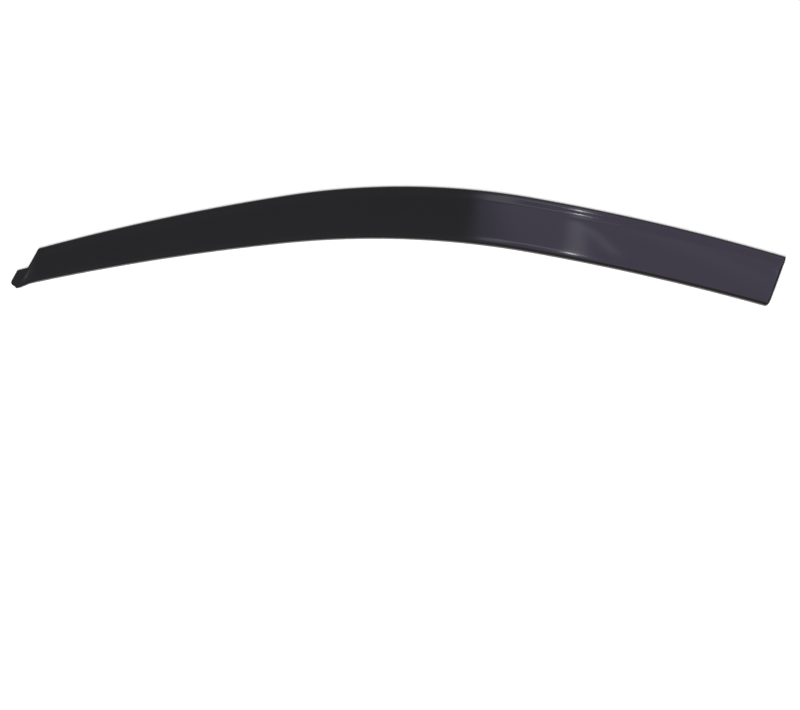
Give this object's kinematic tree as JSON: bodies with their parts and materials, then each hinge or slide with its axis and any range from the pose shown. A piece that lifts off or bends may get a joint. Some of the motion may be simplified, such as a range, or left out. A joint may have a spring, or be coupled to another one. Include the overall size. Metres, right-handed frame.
{
  "type": "window rain deflector",
  "caption": "Arched, dark smoke acrylic rain deflector for a car's front side window, a thin hollow moulding with a flat flange, a sloping face, a rolled lip and a small front tab.",
  "frame": {"origin": "middle of the part's box, on the plane that its rim stands on, which is the door's surface in use", "axes": "+X along the door towards the rear of the car, +Y up the door towards the arched top edge, +Z out from the door, away from the surface that it lies on"},
  "size_m": [0.9254, 0.1544, 0.0189],
  "materials": {
    "smoke_acrylic": "polished dark smoke acrylic"
  },
  "bodies": {
    "root": {"deflector_shell": "smoke_acrylic"}
  },
  "joints": []
}
